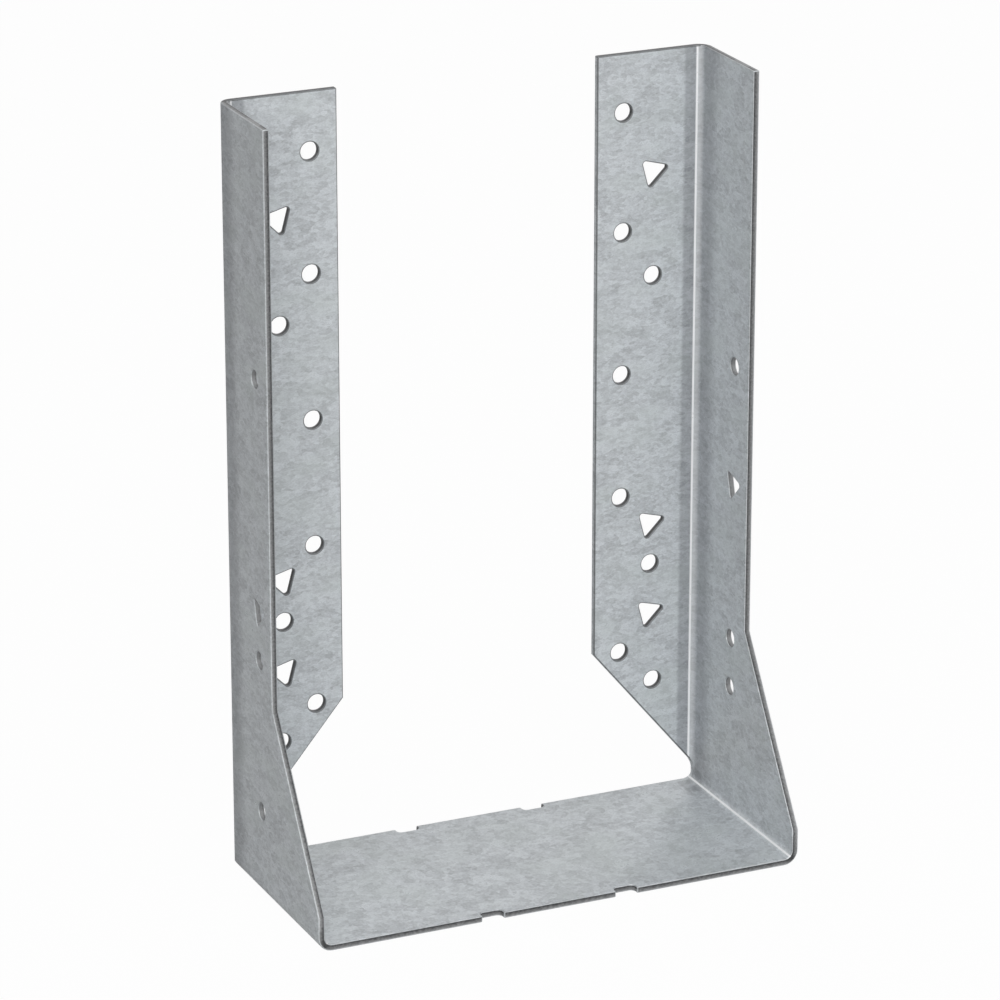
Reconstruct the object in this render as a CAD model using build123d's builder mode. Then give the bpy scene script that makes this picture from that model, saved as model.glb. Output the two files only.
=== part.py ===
from build123d import *
from math import atan2, pi, sqrt, tan
import os

# Beam hanger with concealed flanges, folded from one punched steel blank.
# Millimetres, +Z up. The origin lies under the middle of the seat, on its underside.
# The flanges lie against the header on the +Y side; the beam comes in from -Y.

# Sheet, and the inside radius of its folds: the seat's are a little softer than the flanges'
sheet = 1.9
seat_bend = 2.2
flange_bend = 2.0

# Room for the beam
beam_width = 139.7
side_height = 217.0
seat_depth = 63.5

# Front edge of the side plates: upright, sloping out, upright again
plate_depth = 32.4
slope_top = 56.1
slope_foot = 8.2

# Flanges: width from the plate's inner face, heights of the slanted lower edge's two ends
flange_width = 31.6
flange_corner = 43.2
flange_foot = 3.1
relief_radius = 6.0

# Holes for the fasteners
round_hole = 5.1
triangle_side = 8.6
triangle_corner = 0.8
triangle_turn = 15.0

# Hole columns of each flange: one by its free edge, one by the fold
free_edge_column = 7.95
fold_column = 14.35
free_holes_up = (42.9, 89.3)
free_holes_down = (16.5, 50.5, 91.7)
fold_holes_up = (68.3,)
fold_holes_down = (63.9,)
fold_triangles_up = (53.5, 80.2)
fold_triangles_down = (34.3,)

# Lowest hole of each flange, a little nearer to the fold than the column above it
low_hole_column = 13.2
low_hole_up = 33.0

# Hole column of each side plate, from its front edge; the two plates are staggered
plate_column = 8.5
left_holes_up = (23.6, 67.5)
left_holes_down = (70.0,)
left_triangles_up = (81.3,)
right_holes_up = (36.7, 51.2)
right_holes_down = (85.8,)
right_triangles_up = (96.7,)

# Notches in the seat's two free edges
notch_width = 6.4
notch_depth = 2.4
notch_corner = 1.4
back_notches = (-19.0, 19.6)
front_notches = (-20.7, 19.2)

# Places that follow from the sizes
outer_width = beam_width + 2 * sheet
plate_face = beam_width / 2
header_face = seat_depth / 2
front_edge = -seat_depth / 2
seat_face = sheet
top_edge = seat_face + side_height
free_edge = plate_face - flange_width
slant_foot = seat_face + seat_bend + flange_foot
slant_corner = seat_face + flange_corner

back_plane = Plane.XZ.offset(-header_face)
flange_front_plane = Plane.XZ.offset(-(header_face - sheet))


def heights(up, down):
    """Heights of holes measured up from the seat and down from the top edge."""
    return [seat_face + h for h in up] + [top_edge - h for h in down]


# Space inside the folds, as seen from the front and from above
with BuildPart() as beam_room:
    with BuildSketch(flange_front_plane) as room_section:
        with Locations((0, seat_face)):
            Rectangle(beam_width, 2 * side_height, align=(Align.CENTER, Align.MIN))
        fillet(room_section.vertices().group_by(Axis.Y)[0], seat_bend)
    extrude(amount=seat_depth)
    with BuildSketch(Plane.XY) as room_plan:
        with Locations((0, header_face - sheet)):
            Rectangle(beam_width, 2 * seat_depth, align=(Align.CENTER, Align.MAX))
        fillet(room_plan.vertices().group_by(Axis.Y)[-1], flange_bend)
    extrude(amount=2 * top_edge, mode=Mode.INTERSECT)

# One triangular hole, pointing down, turned with the blank
with BuildSketch() as triangle_hole:
    RegularPolygon(triangle_side / sqrt(3), 3, rotation=triangle_turn)
    fillet(triangle_hole.vertices(), triangle_corner)

with BuildPart() as hanger:
    # Outside of the folds, as seen from the front, from above and from the side
    with BuildSketch(back_plane) as front_outline:
        Rectangle(outer_width, top_edge, align=(Align.CENTER, Align.MIN))
        fillet(front_outline.vertices().group_by(Axis.Y)[0], seat_bend + sheet)
    extrude(amount=seat_depth)
    with BuildSketch(Plane.XY) as plan_outline:
        Rectangle(outer_width, seat_depth)
        fillet(plan_outline.vertices().group_by(Axis.Y)[-1], flange_bend + sheet)
    extrude(amount=top_edge, mode=Mode.INTERSECT)
    with BuildSketch(Plane.YZ) as side_outline:
        with BuildLine():
            Polyline(
                (header_face, 0),
                (header_face, top_edge),
                (header_face - plate_depth, top_edge),
                (header_face - plate_depth, seat_face + slope_top),
                (front_edge, seat_face + slope_foot),
                (front_edge, 0),
                close=True,
            )
        make_face()
    extrude(amount=outer_width, both=True, mode=Mode.INTERSECT)

    # Hollow it to the sheet's thickness
    add(beam_room.part, mode=Mode.SUBTRACT)

    # Gap between the flanges, down their slanted edges to the relief in each corner
    with BuildSketch(back_plane) as flange_gap:
        with BuildLine():
            Polyline(
                (plate_face, seat_face),
                (plate_face, slant_foot),
                (free_edge, slant_corner),
                (free_edge, top_edge),
                (-free_edge, top_edge),
                (-free_edge, slant_corner),
                (-plate_face, slant_foot),
                (-plate_face, seat_face),
                close=True,
            )
        make_face()
        corners = flange_gap.vertices().group_by(Axis.Y)
        slant_turn = pi / 2 - atan2(slant_corner - slant_foot, plate_face - free_edge)
        relief = min(relief_radius, 0.9 * flange_foot / tan(slant_turn / 2))
        fillet(corners[1], relief)
        fillet(flange_gap.vertices().group_by(Axis.Y)[0], seat_bend)
    extrude(amount=flange_bend + sheet, mode=Mode.SUBTRACT)

    # Holes in the flanges, the same on both sides
    free_column_x = free_edge + free_edge_column
    fold_column_x = plate_face - fold_column
    with BuildSketch(back_plane) as flange_holes:
        with Locations(*[(free_column_x, z) for z in heights(free_holes_up, free_holes_down)]):
            Circle(round_hole / 2)
        with Locations(*[(fold_column_x, z) for z in heights(fold_holes_up, fold_holes_down)]):
            Circle(round_hole / 2)
        with Locations((plate_face - low_hole_column, seat_face + low_hole_up)):
            Circle(round_hole / 2)
        with Locations(*[(fold_column_x, z) for z in heights(fold_triangles_up, fold_triangles_down)]):
            add(triangle_hole.sketch)
        mirror(about=Plane.YZ)
    extrude(amount=sheet, mode=Mode.SUBTRACT)

    # Holes in the side plates
    plate_column_y = header_face - plate_depth + plate_column
    with BuildSketch(Plane.YZ.offset(plate_face)) as right_plate_holes:
        with Locations(*[(plate_column_y, z) for z in heights(right_holes_up, right_holes_down)]):
            Circle(round_hole / 2)
        with Locations(*[(plate_column_y, z) for z in heights(right_triangles_up, ())]):
            add(triangle_hole.sketch.mirror(Plane.YZ))
    extrude(amount=sheet, mode=Mode.SUBTRACT)
    with BuildSketch(Plane.YZ.offset(-plate_face - sheet)) as left_plate_holes:
        with Locations(*[(plate_column_y, z) for z in heights(left_holes_up, left_holes_down)]):
            Circle(round_hole / 2)
        with Locations(*[(plate_column_y, z) for z in heights(left_triangles_up, ())]):
            add(triangle_hole.sketch.mirror(Plane.YZ))
    extrude(amount=sheet, mode=Mode.SUBTRACT)

    # Notches in the seat's back and front edges
    with BuildSketch(Plane.XY) as seat_notches:
        with Locations(*[(x, header_face) for x in back_notches]):
            Rectangle(notch_width, 2 * notch_depth)
        with Locations(*[(x, front_edge) for x in front_notches]):
            Rectangle(notch_width, 2 * notch_depth)
        fillet(seat_notches.vertices(), notch_corner)
    extrude(amount=sheet, mode=Mode.SUBTRACT)

hanger.part.label = "beam_hanger"

os.makedirs("parts", exist_ok=True)
export_step(hanger.part, "parts/beam_hanger.step")
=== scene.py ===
import bpy
import bmesh
import math
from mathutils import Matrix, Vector
from mathutils.bvhtree import BVHTree


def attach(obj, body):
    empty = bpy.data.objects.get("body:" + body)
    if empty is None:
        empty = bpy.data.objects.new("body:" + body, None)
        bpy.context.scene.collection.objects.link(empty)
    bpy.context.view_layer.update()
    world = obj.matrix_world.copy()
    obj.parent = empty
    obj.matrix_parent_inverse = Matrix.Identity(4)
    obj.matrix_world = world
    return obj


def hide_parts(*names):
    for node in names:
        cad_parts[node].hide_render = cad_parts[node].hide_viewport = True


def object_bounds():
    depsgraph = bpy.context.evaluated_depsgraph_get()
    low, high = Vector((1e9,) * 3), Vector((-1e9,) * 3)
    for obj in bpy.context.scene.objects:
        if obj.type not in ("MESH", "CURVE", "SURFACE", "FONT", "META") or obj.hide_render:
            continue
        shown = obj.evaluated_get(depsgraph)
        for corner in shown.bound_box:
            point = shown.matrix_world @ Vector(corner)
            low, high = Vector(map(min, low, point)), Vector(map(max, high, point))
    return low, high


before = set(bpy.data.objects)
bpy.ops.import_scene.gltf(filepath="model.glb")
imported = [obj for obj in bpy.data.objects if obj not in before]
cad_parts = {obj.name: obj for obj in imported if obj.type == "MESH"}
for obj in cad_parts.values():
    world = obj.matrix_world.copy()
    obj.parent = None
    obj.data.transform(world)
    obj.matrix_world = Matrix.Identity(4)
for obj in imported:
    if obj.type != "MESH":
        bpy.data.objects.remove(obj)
cad_low, cad_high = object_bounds()

# The sheet's sizes, in metres
MILLIMETRE = 0.001
SHEET = 0.0019
FLANGE_BEND = 0.002
PLATE_FACE = cad_high[0] - SHEET
FLANGE_FACE = cad_high[1] - SHEET
PLATE_COLUMN = cad_high[1] - 0.0239

# Rounding that shears, punch and zinc leave on every sharp edge
EDGE_ROUNDING = 0.00033
ROUNDING_STEPS = 3
RIM_ANGLE = math.radians(40)

# How much a rounded rim looks like cut steel, from 0 to 1
RIM_CUT_SHARE = 0.22
FLANGE_RIM_CUT_SHARE = 0.75

# How the sheet's triangles are joined, and how its rolled faces are told from its cut ones
JOIN_WITHIN = 0.002 * MILLIMETRE
MERGE_WITHIN = 0.001 * MILLIMETRE
RAY_START = 0.01 * MILLIMETRE
RAY_REACH = 20 * MILLIMETRE
SHEET_TOLERANCE = 0.12 * SHEET

# Zinc: crystals drawn out along the rolling direction, and how much each layer counts
CRYSTAL_STRETCH = (0.66, 0.66, 1.26)
PUSH_SCALE = 900.0
LAYER_SHARES = {"crystals": 0.27, "flecks": 0.36, "clouds": 0.10, "grain": 0.27}
TINT_SHARE = 0.35
ZINC_METALLIC = 0.20
CUT_ROUGHNESS = 0.42
BUMP_STRENGTH = 0.12
BUMP_DISTANCE = 0.0002

# Painted light at the folds: a colour multiplied in as painted shade beside each fold, a pale colour as a painted
# highlight along the fold, and the share of that painted highlight over the bend
FOLD_PAINTED_SHADE = (0.69, 0.69, 0.70, 1)
FOLD_PAINTED_HIGHLIGHT = (0.95, 0.96, 0.97, 1)
BEND_PAINTED_HIGHLIGHT_SHARE = 0.25

# Studio
LAMP_DISTANCE = 2.3
FLOOR_SIZE = 8.0
FLOOR_PAINT = (0.76, 0.76, 0.76, 1)
ROOM_LEVEL = 0.12
MID_HEIGHT = (cad_low[2] + cad_high[2]) / 2


# Helpers for node trees

def set_input(node, name, value):
    node.inputs[name].default_value = value


def feed(links, socket, source):
    """Gives a socket a number or another node's output."""
    if isinstance(source, (int, float)):
        socket.default_value = source
    else:
        links.new(source, socket)


def new_group(name, inputs, outputs):
    """A node group with its sockets: rows of (kind, name, value) and of (kind, name)."""
    group = bpy.data.node_groups.new(name, "ShaderNodeTree")
    group.interface.new_socket("Position", in_out="INPUT", socket_type="NodeSocketVector")
    for kind, label, value in inputs:
        socket = group.interface.new_socket(label, in_out="INPUT", socket_type="NodeSocket" + kind)
        socket.default_value = value
    for kind, label in outputs:
        group.interface.new_socket(label, in_out="OUTPUT", socket_type="NodeSocket" + kind)
    given, out = group.nodes.new("NodeGroupInput"), group.nodes.new("NodeGroupOutput")
    return group, group.nodes, group.links, given.outputs, out.inputs


def calculate(nodes, links, operation, first, second=None):
    node = nodes.new("ShaderNodeMath")
    node.operation = operation
    feed(links, node.inputs[0], first)
    if second is not None:
        feed(links, node.inputs[1], second)
    return node.outputs[0]


def remap(nodes, links, value, low, high, to_low=0.0, to_high=1.0, smooth=False):
    """Value between low and high, spread over to_low to to_high."""
    ramp = nodes.new("ShaderNodeMapRange")
    if smooth:
        ramp.interpolation_type = "SMOOTHSTEP"
    for name, source in (("Value", value), ("From Min", low), ("From Max", high), ("To Min", to_low), ("To Max", to_high)):
        feed(links, ramp.inputs[name], source)
    return ramp.outputs["Result"]


def blend(nodes, links, share, first, second, way="MIX"):
    """Two colours mixed by a share; the second may be a plain colour."""
    mix = nodes.new("ShaderNodeMix")
    mix.data_type = "RGBA"
    mix.blend_type = way
    links.new(share, mix.inputs["Factor"])
    links.new(first, mix.inputs[6])
    if isinstance(second, tuple):
        mix.inputs[7].default_value = second
    else:
        links.new(second, mix.inputs[7])
    return mix.outputs[2]


def noise(nodes, links, place, scale, detail, roughness=0.5):
    texture = nodes.new("ShaderNodeTexNoise")
    links.new(place, texture.inputs["Vector"])
    feed(links, texture.inputs["Scale"], scale)
    set_input(texture, "Detail", detail)
    set_input(texture, "Roughness", roughness)
    return texture.outputs


def split_axes(nodes, links, position):
    """How far a point lies from the middle plane, and its depth and height."""
    axes = nodes.new("ShaderNodeSeparateXYZ")
    links.new(position, axes.inputs["Vector"])
    across = calculate(nodes, links, "ABSOLUTE", axes.outputs["X"])
    return across, axes.outputs["Y"], axes.outputs["Z"]


# Folded sheet

def merged_copy(node_object):
    """The sheet's triangles joined into one closed skin."""
    skin = bmesh.new()
    skin.from_mesh(node_object.data)
    bmesh.ops.remove_doubles(skin, verts=skin.verts, dist=JOIN_WITHIN)
    bmesh.ops.dissolve_degenerate(skin, edges=skin.edges, dist=MERGE_WITHIN)
    bmesh.ops.recalc_face_normals(skin, faces=skin.faces)
    skin.normal_update()
    return skin


def is_rolled(face, tree):
    """A face with one sheet thickness behind it is rolled surface."""
    start = face.calc_center_median() - face.normal * RAY_START
    depth = tree.ray_cast(start, -face.normal, RAY_REACH)[3]
    return depth is not None and abs(depth - SHEET) < SHEET_TOLERANCE


def mark_cut_faces(skin):
    """Faces joined by smooth edges are one surface, which most of its area makes rolled or cut."""
    share = skin.faces.layers.float.new("cut")
    tree = BVHTree.FromBMesh(skin)
    seen = set()
    for first in skin.faces:
        if first in seen:
            continue
        seen.add(first)
        surface, waiting = [], [first]
        while waiting:
            face = waiting.pop()
            surface.append(face)
            for edge in face.edges:
                if edge.calc_face_angle(0.0) > RIM_ANGLE:
                    continue
                for other in edge.link_faces:
                    if other not in seen:
                        seen.add(other)
                        waiting.append(other)
        rolled = sum(face.calc_area() for face in surface if is_rolled(face, tree))
        whole = sum(face.calc_area() for face in surface)
        for face in surface:
            face[share] = 0.0 if rolled > 0.5 * whole else 1.0
    return share


def round_cut_edges(skin, share):
    """A small round along every sharp edge, as shearing and galvanising leave it."""
    sharp = [edge for edge in skin.edges if len(edge.link_faces) == 2 and edge.calc_face_angle(0.0) > RIM_ANGLE]
    made = bmesh.ops.bevel(skin, geom=sharp, offset=EDGE_ROUNDING, offset_type="OFFSET", segments=ROUNDING_STEPS,
                           profile=0.5, affect="EDGES", clamp_overlap=False, loop_slide=False)
    for face in made["faces"]:
        on_flange = face.calc_center_median().y > FLANGE_FACE - EDGE_ROUNDING
        face[share] = FLANGE_RIM_CUT_SHARE if on_flange else RIM_CUT_SHARE
    skin.normal_update()


def folded_sheet():
    """The hanger with its cut edges rounded, in place of the plain solid."""
    skin = merged_copy(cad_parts["beam_hanger"])
    share = mark_cut_faces(skin)
    round_cut_edges(skin, share)
    bmesh.ops.remove_doubles(skin, verts=skin.verts, dist=MERGE_WITHIN)
    for vertex in skin.verts:
        vertex.co = [min(max(place, low), high) for place, low, high in zip(vertex.co, cad_low, cad_high)]
    for face in skin.faces:
        face.smooth = True
    mesh = bpy.data.meshes.new("hanger_sheet")
    skin.to_mesh(mesh)
    skin.free()
    sheet = bpy.data.objects.new("hanger_sheet", mesh)
    bpy.context.collection.objects.link(sheet)

    # Flat faces keep their own direction, so that only the rims and bends look round
    weigh = sheet.modifiers.new("weigh", "WEIGHTED_NORMAL")
    weigh.mode = "FACE_AREA"
    weigh.weight = 50
    shaped = bpy.data.meshes.new_from_object(sheet.evaluated_get(bpy.context.evaluated_depsgraph_get()))
    sheet.modifiers.clear()
    shaped.name = "hanger_sheet"
    sheet.data = shaped
    return sheet


# Finishes

def spangle_group():
    """Hot-dip zinc: small crystals of slightly different grey, with soft clouds and a faint tint."""
    group, nodes, links, given, out = new_group("zinc_spangle", (
        ("Float", "Crystal Scale", 310.0), ("Float", "Fleck Scale", 1050.0),
        ("Float", "Grain Scale", 2400.0), ("Float", "Cloud Scale", 90.0),
        ("Float", "Warp", 0.0010), ("Float", "Smooth Roughness", 0.25), ("Float", "Rough Roughness", 0.40),
        ("Color", "Light Zinc", (0.785, 0.824, 0.855, 1)), ("Color", "Dark Zinc", (0.375, 0.394, 0.410, 1)),
        ("Color", "Tint", (0.55, 0.60, 0.585, 1)),
    ), (("Color", "Color"), ("Float", "Roughness"), ("Float", "Height")))

    def vector_step(operation, first, second):
        step = nodes.new("ShaderNodeVectorMath")
        step.operation = operation
        links.new(first, step.inputs[0])
        if isinstance(second, tuple):
            step.inputs[1].default_value = second
        else:
            links.new(second, step.inputs["Scale" if operation == "SCALE" else 1])
        return step.outputs["Vector"]

    # Positions pushed about, so that crystal borders are ragged
    rolled = vector_step("MULTIPLY", given["Position"], CRYSTAL_STRETCH)
    push = noise(nodes, links, rolled, PUSH_SCALE, 3.0)["Color"]
    push = vector_step("SCALE", vector_step("SUBTRACT", push, (0.5, 0.5, 0.5)), given["Warp"])
    place = vector_step("ADD", rolled, push)

    def crystals(scale_name):
        cell = nodes.new("ShaderNodeTexVoronoi")
        links.new(place, cell.inputs["Vector"])
        links.new(given[scale_name], cell.inputs["Scale"])
        shade = nodes.new("ShaderNodeSeparateColor")
        links.new(cell.outputs["Color"], shade.inputs["Color"])
        return shade.outputs["Red"]

    def cloud(scale_name, detail, low, high):
        return remap(nodes, links, noise(nodes, links, rolled, given[scale_name], detail, 0.6)["Fac"], low, high)

    grain = cloud("Grain Scale", 3.0, 0.36, 0.64)
    layers = {
        "crystals": crystals("Crystal Scale"), "flecks": crystals("Fleck Scale"),
        "clouds": cloud("Cloud Scale", 5.0, 0.32, 0.68), "grain": grain,
    }
    total = 0.0
    for name, layer in layers.items():
        total = calculate(nodes, links, "ADD", total, calculate(nodes, links, "MULTIPLY", layer, LAYER_SHARES[name]))

    zinc = blend(nodes, links, total, given["Dark Zinc"], given["Light Zinc"])
    faint = calculate(nodes, links, "MULTIPLY", cloud("Cloud Scale", 1.0, 0.45, 0.75), TINT_SHARE)
    links.new(blend(nodes, links, faint, zinc, given["Tint"]), out["Color"])
    rough = remap(nodes, links, total, 0.0, 1.0, given["Rough Roughness"], given["Smooth Roughness"])
    links.new(rough, out["Roughness"])
    links.new(grain, out["Height"])
    return group


def cut_steel_group():
    """Sheared steel under a wipe of zinc: torn and dark by the inner face, burnished by the outer one."""
    group, nodes, links, given, out = new_group("sheared_edge", (
        ("Float", "Plate Face", PLATE_FACE), ("Float", "Flange Face", FLANGE_FACE), ("Float", "Seat Face", SHEET),
        ("Float", "Tear Scale", 1500.0),
        ("Color", "Burnished", (0.31, 0.315, 0.32, 1)), ("Color", "Torn", (0.055, 0.056, 0.058, 1)),
    ), (("Color", "Color"),))
    across, depthwise, height = split_axes(nodes, links, given["Position"])

    # Depth into the sheet, from whichever inner face the point lies behind
    behind_plate = calculate(nodes, links, "SUBTRACT", across, given["Plate Face"])
    behind_flange = calculate(nodes, links, "SUBTRACT", depthwise, given["Flange Face"])
    below_seat = calculate(nodes, links, "SUBTRACT", given["Seat Face"], height)
    depth = calculate(nodes, links, "MAXIMUM", calculate(nodes, links, "MAXIMUM", behind_plate, behind_flange), below_seat)

    tear = noise(nodes, links, given["Position"], given["Tear Scale"], 3.0)["Fac"]
    ragged = remap(nodes, links, tear, 0.0, 1.0, -0.35 * SHEET, 0.35 * SHEET)

    # The plates' holes carry more of the zinc wipe than the other cut edges
    aside = calculate(nodes, links, "ABSOLUTE", calculate(nodes, links, "SUBTRACT", depthwise, PLATE_COLUMN))
    wiped = remap(nodes, links, aside, 3.5 * MILLIMETRE, 4.5 * MILLIMETRE, 0.40 * SHEET, 0.05 * SHEET)

    # The flanges' edges are torn all through
    torn = remap(nodes, links, depthwise, FLANGE_FACE - MILLIMETRE, FLANGE_FACE, 0.0, -0.70 * SHEET)

    border = depth
    for shift in (ragged, wiped, torn):
        border = calculate(nodes, links, "ADD", border, shift)
    share = remap(nodes, links, border, 0.30 * SHEET, 0.90 * SHEET)
    links.new(blend(nodes, links, share, given["Torn"], given["Burnished"]), out["Color"])
    return group


def painted_fold_light_group():
    """Painted light at the folds: a painted highlight line inside each fold and a band of painted shade beside it."""
    group, nodes, links, given, out = new_group("painted_fold_light", (
        ("Float", "Plate Face", PLATE_FACE), ("Float", "Flange Face", FLANGE_FACE), ("Float", "Seat Face", SHEET),
        ("Float", "Bend", FLANGE_BEND), ("Float", "Line Place", 0.0015), ("Float", "Line Width", 0.00046),
        ("Float", "Band Width", 0.0058),
    ), (("Float", "Painted Highlight"), ("Float", "Painted Shade")))
    across, depthwise, height = split_axes(nodes, links, given["Position"])

    def between(start, end):
        return calculate(nodes, links, "SUBTRACT", start, end)

    def fade(value, full, gone):
        """One up to the first place, none from the second on."""
        return remap(nodes, links, value, full, gone, 1.0, 0.0, smooth=True)

    def both(first, second):
        return calculate(nodes, links, "MULTIPLY", first, second)

    def apart(first, second):
        return calculate(nodes, links, "ABSOLUTE", between(first, second))

    from_plate = between(given["Plate Face"], across)
    from_flange = between(given["Flange Face"], depthwise)
    from_seat = between(height, given["Seat Face"])
    inside_flange = fade(between(depthwise, given["Flange Face"]), 0.0, 0.0002)
    inside_seat = fade(between(given["Seat Face"], height), 0.0, 0.0002)
    inside_plate = fade(between(across, given["Plate Face"]), 0.0, 0.0002)

    # Upright folds: a painted highlight line near the flange side and a fainter painted highlight over the bend beside
    # it, down to just above the seat
    on_line = fade(apart(from_plate, given["Line Place"]), 0.0001, given["Line Width"])
    above_seat = fade(from_seat, 0.0038, 0.0024)
    in_bend = both(fade(from_flange, 0.0006, given["Bend"]), both(inside_flange, above_seat))
    painted_bend_highlight = both(both(fade(from_plate, 0.0013, 0.0019), in_bend), BEND_PAINTED_HIGHLIGHT_SHARE)
    upright = calculate(nodes, links, "MAXIMUM", both(on_line, in_bend), painted_bend_highlight)

    # Folds beside the seat: a painted highlight line along the middle of the bend
    on_middle = fade(apart(from_plate, from_seat), 0.0002, 0.0006)
    near_seat = both(fade(from_seat, 0.0012, 0.0018), both(inside_seat, inside_plate))
    painted_highlight = calculate(nodes, links, "MAXIMUM", upright, both(on_middle, near_seat))
    links.new(both(painted_highlight, inside_plate), out["Painted Highlight"])

    # Painted shade: a darker band on the flange and plate beside each upright fold
    by_plate = fade(from_plate, 0.0045, given["Band Width"])
    by_flange = fade(from_flange, 0.0045, 0.012)
    links.new(both(both(by_plate, by_flange), inside_flange), out["Painted Shade"])
    return group


def galvanised():
    material = bpy.data.materials.new("galvanised_sheet")
    material.use_nodes = True
    nodes, links = material.node_tree.nodes, material.node_tree.links
    shader = nodes["Principled BSDF"]
    set_input(shader, "Metallic", ZINC_METALLIC)
    place = nodes.new("ShaderNodeTexCoord")

    def placed_group(group):
        node = nodes.new("ShaderNodeGroup")
        node.node_tree = group
        links.new(place.outputs["Object"], node.inputs["Position"])
        return node.outputs

    zinc, edge, fold_light_masks = placed_group(spangle_group()), placed_group(cut_steel_group()), placed_group(painted_fold_light_group())
    # The zinc is darkened by painted shade beside the folds, then brightened by a painted highlight along them
    painted_shade = blend(nodes, links, fold_light_masks["Painted Shade"], zinc["Color"], FOLD_PAINTED_SHADE, "MULTIPLY")
    painted_highlight = blend(nodes, links, fold_light_masks["Painted Highlight"], painted_shade, FOLD_PAINTED_HIGHLIGHT)
    cut = nodes.new("ShaderNodeAttribute")
    cut.attribute_name = "cut"
    links.new(blend(nodes, links, cut.outputs["Fac"], painted_highlight, edge["Color"]), shader.inputs["Base Color"])
    rough = nodes.new("ShaderNodeMix")
    rough.data_type = "FLOAT"
    links.new(cut.outputs["Fac"], rough.inputs["Factor"])
    links.new(zinc["Roughness"], rough.inputs["A"])
    set_input(rough, "B", CUT_ROUGHNESS)
    links.new(rough.outputs["Result"], shader.inputs["Roughness"])
    bump = nodes.new("ShaderNodeBump")
    set_input(bump, "Strength", BUMP_STRENGTH)
    set_input(bump, "Distance", BUMP_DISTANCE)
    links.new(zinc["Height"], bump.inputs["Height"])
    links.new(bump.outputs["Normal"], shader.inputs["Normal"])
    return material


sheet = folded_sheet()
sheet.data.materials.clear()
sheet.data.materials.append(galvanised())
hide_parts("beam_hanger")
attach(sheet, "root")


# Studio

def ray_share(nodes, links, camera_share, glossy_share):
    """Value for camera rays and another for reflections, none for all other rays."""
    rays = nodes.new("ShaderNodeLightPath").outputs
    seen = calculate(nodes, links, "MULTIPLY", rays["Is Camera Ray"], camera_share)
    mirrored = calculate(nodes, links, "MULTIPLY", rays["Is Glossy Ray"], glossy_share)
    return calculate(nodes, links, "MAXIMUM", seen, mirrored)


def pale_floor():
    bpy.ops.mesh.primitive_plane_add(size=FLOOR_SIZE, location=(0, 0, cad_low[2]))
    floor = bpy.context.object
    floor.name = "studio_floor"
    material = bpy.data.materials.new("studio_floor")
    material.use_nodes = True
    nodes, links = material.node_tree.nodes, material.node_tree.links
    paint = nodes["Principled BSDF"]
    set_input(paint, "Base Color", FLOOR_PAINT)
    set_input(paint, "Roughness", 0.9)
    glow = nodes.new("ShaderNodeEmission")
    set_input(glow, "Strength", 1.0)
    mix = nodes.new("ShaderNodeMixShader")
    links.new(ray_share(nodes, links, 0.975, 0.04), mix.inputs["Fac"])
    links.new(paint.outputs["BSDF"], mix.inputs[1])
    links.new(glow.outputs["Emission"], mix.inputs[2])
    links.new(mix.outputs["Shader"], nodes["Material Output"].inputs["Surface"])
    floor.data.materials.clear()
    floor.data.materials.append(material)


def studio_world():
    world = bpy.data.worlds.new("studio")
    bpy.context.scene.world = world
    world.use_nodes = True
    nodes, links = world.node_tree.nodes, world.node_tree.links
    room = nodes["Background"]
    set_input(room, "Color", (1, 1, 1, 1))
    shown = ray_share(nodes, links, 1.0, 0.98)
    links.new(remap(nodes, links, shown, 0.0, 1.0, ROOM_LEVEL, 1.0), room.inputs["Strength"])


def softbox(name, turn, lift, side, watts):
    """A square lamp aimed at the object, turned from the front towards +X and lifted, in degrees."""
    data = bpy.data.lights.new(name, "AREA")
    data.shape = "SQUARE"
    data.size = side
    data.energy = watts
    lamp = bpy.data.objects.new(name, data)
    bpy.context.collection.objects.link(lamp)
    turn, lift = math.radians(turn), math.radians(lift)
    way = Vector((math.cos(lift) * math.sin(turn), -math.cos(lift) * math.cos(turn), math.sin(lift)))
    lamp.location = Vector((0.0, 0.0, MID_HEIGHT)) + LAMP_DISTANCE * way
    lamp.rotation_euler = (-way).to_track_quat("-Z", "Y").to_euler()


def photograph_camera():
    data = bpy.data.cameras.new("camera")
    data.sensor_width = 36.0
    data.lens = 185.36
    data.clip_start, data.clip_end = 0.05, 50.0
    camera = bpy.data.objects.new("camera", data)
    bpy.context.collection.objects.link(camera)
    camera.location = (-0.54444, -1.18844, 0.57645)
    camera.rotation_euler = (math.radians(90 - 19.75), 0.0, math.radians(-24.44))
    bpy.context.scene.camera = camera


pale_floor()
studio_world()
softbox("key_softbox", -30, 45, 2.8, 29.5)
softbox("fill_softbox", 30, 45, 2.6, 12.5)
softbox("low_softbox", -18, 15, 2.0, 17.5)
photograph_camera()

bpy.context.scene.view_settings.view_transform = "Standard"
